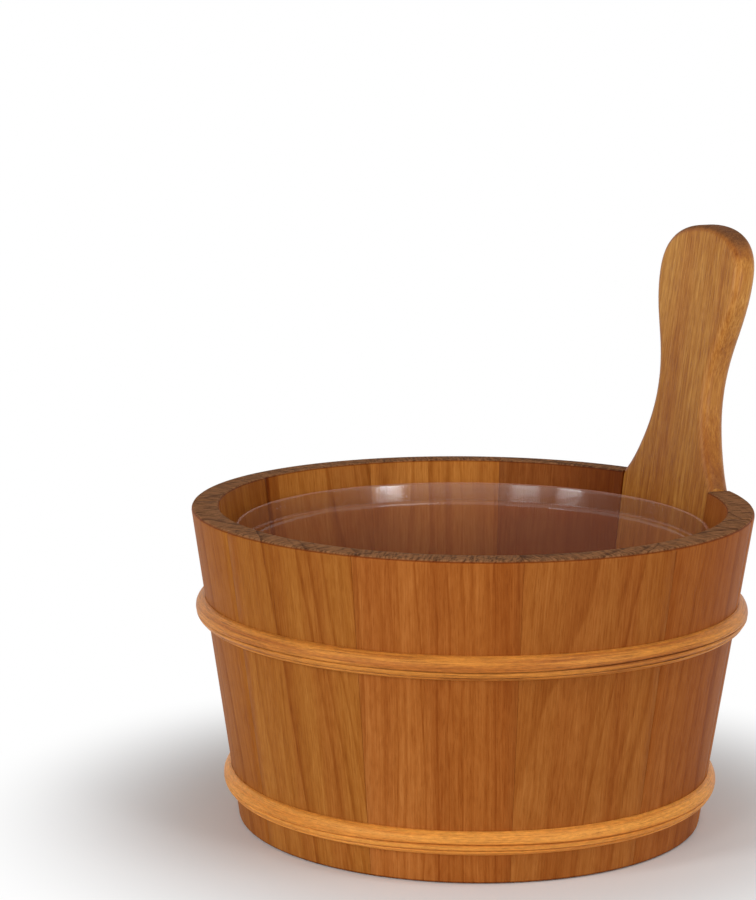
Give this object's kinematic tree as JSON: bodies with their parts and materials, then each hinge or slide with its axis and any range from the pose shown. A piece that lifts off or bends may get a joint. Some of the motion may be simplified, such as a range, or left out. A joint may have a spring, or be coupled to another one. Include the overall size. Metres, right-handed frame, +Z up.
{
  "type": "wooden piggin",
  "caption": "Small coopered wooden pail with one stave carried up as a paddle handle, split-cane hoops and a loose frosted plastic liner.",
  "frame": {"origin": "on the floor, under the middle of the whole object's bounding box", "axes": "+Z up; +Y towards the handle stave; +X to the right of someone who looks along +Y"},
  "size_m": [0.2494, 0.2665, 0.2601],
  "materials": {
    "stave_wood": "oiled, satin",
    "handle_wood": "oiled, satin",
    "bottom_wood": "plain, dry",
    "hoop_cane": "smooth natural skin, lacquered",
    "liner_plastic": "frosted, translucent"
  },
  "bodies": {
    "pail": {"handle_stave": "handle_wood", "stave_02": "stave_wood", "stave_03": "stave_wood", "stave_04": "stave_wood", "stave_05": "stave_wood", "stave_06": "stave_wood", "stave_07": "stave_wood", "stave_08": "stave_wood", "stave_09": "stave_wood", "stave_10": "stave_wood", "stave_11": "stave_wood", "bottom_board_1": "bottom_wood", "bottom_board_2": "bottom_wood", "bottom_board_3": "bottom_wood", "upper_hoop_top_cane": "hoop_cane", "upper_hoop_middle_cane": "hoop_cane", "upper_hoop_bottom_cane": "hoop_cane", "lower_hoop_top_cane": "hoop_cane", "lower_hoop_middle_cane": "hoop_cane", "lower_hoop_bottom_cane": "hoop_cane"},
    "liner": {"liner": "liner_plastic"}
  },
  "joints": [
    {"name": "liner_lift", "type": "slide", "parent": "pail", "child": "liner", "axis": [0, 0, 1], "range_m": [0, 0.15]}
  ]
}
